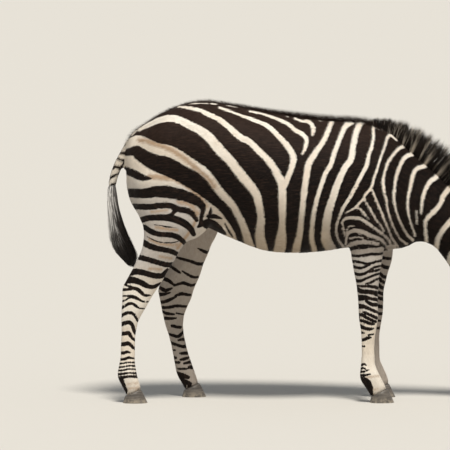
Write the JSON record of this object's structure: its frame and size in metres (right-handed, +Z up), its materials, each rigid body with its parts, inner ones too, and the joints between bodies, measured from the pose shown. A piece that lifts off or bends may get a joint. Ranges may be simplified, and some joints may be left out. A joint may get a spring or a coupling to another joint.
{
  "type": "plains zebra model",
  "caption": "Life-size plains zebra standing with its head lowered to graze, striped coat, upright mane, tufted tail.",
  "frame": {"origin": "on the floor under the middle of the bounding box", "axes": "+X the way the zebra faces, +Y its left side, +Z up"},
  "size_m": [1.8974, 0.5832, 1.3533],
  "materials": {
    "coat": "short lying hair in black and cream stripes",
    "hair": "coarse standing and hanging hair",
    "horn": "dull ridged hoof horn",
    "eye": "wet gloss"
  },
  "bodies": {
    "root": {"ear_left": "coat", "ear_right": "coat", "eye_left": "eye", "eye_right": "eye", "head": "coat", "hoof_fore_left": "horn", "hoof_fore_right": "horn", "hoof_hind_left": "horn", "hoof_hind_right": "horn", "leg_fore_left_cannon": "coat", "leg_fore_left_pastern": "coat", "leg_fore_left_upper": "coat", "leg_fore_right_cannon": "coat", "leg_fore_right_pastern": "coat", "leg_fore_right_upper": "coat", "leg_hind_left_cannon": "coat", "leg_hind_left_pastern": "coat", "leg_hind_left_upper": "coat", "leg_hind_right_cannon": "coat", "leg_hind_right_pastern": "coat", "leg_hind_right_upper": "coat", "mane": "hair", "muzzle": "coat", "neck": "coat", "tail_dock": "coat", "tail_switch": "hair", "trunk": "coat"}
  },
  "joints": []
}
